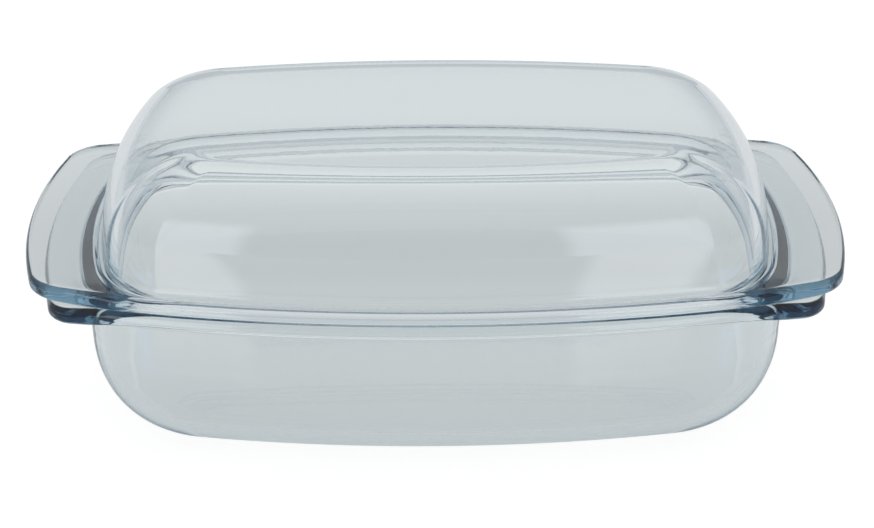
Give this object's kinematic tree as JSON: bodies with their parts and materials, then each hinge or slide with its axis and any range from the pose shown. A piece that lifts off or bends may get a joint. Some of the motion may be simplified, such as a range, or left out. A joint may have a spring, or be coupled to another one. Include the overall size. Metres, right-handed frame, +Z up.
{
  "type": "covered casserole dish",
  "caption": "Clear glass rectangular oven casserole: a deep dish with wide end handles, under a domed lid with matching handles that lifts off.",
  "frame": {"origin": "middle of the foot ring the dish stands on, at table height", "axes": "+X along the length, through the middles of the end handles; +Y to the back long side; +Z up"},
  "size_m": [0.39, 0.211, 0.143],
  "materials": {
    "dish_glass": "clear fire-polished pressed glass with a faint blue-green tint",
    "lid_glass": "clear fire-polished pressed glass with a faint blue-green tint"
  },
  "bodies": {
    "dish": {"base_dish": "dish_glass"},
    "lid": {"lid": "lid_glass"}
  },
  "joints": [
    {"name": "lid_lift", "type": "slide", "parent": "dish", "child": "lid", "axis": [0, 0, 1], "range_m": [0, 0.2]}
  ]
}
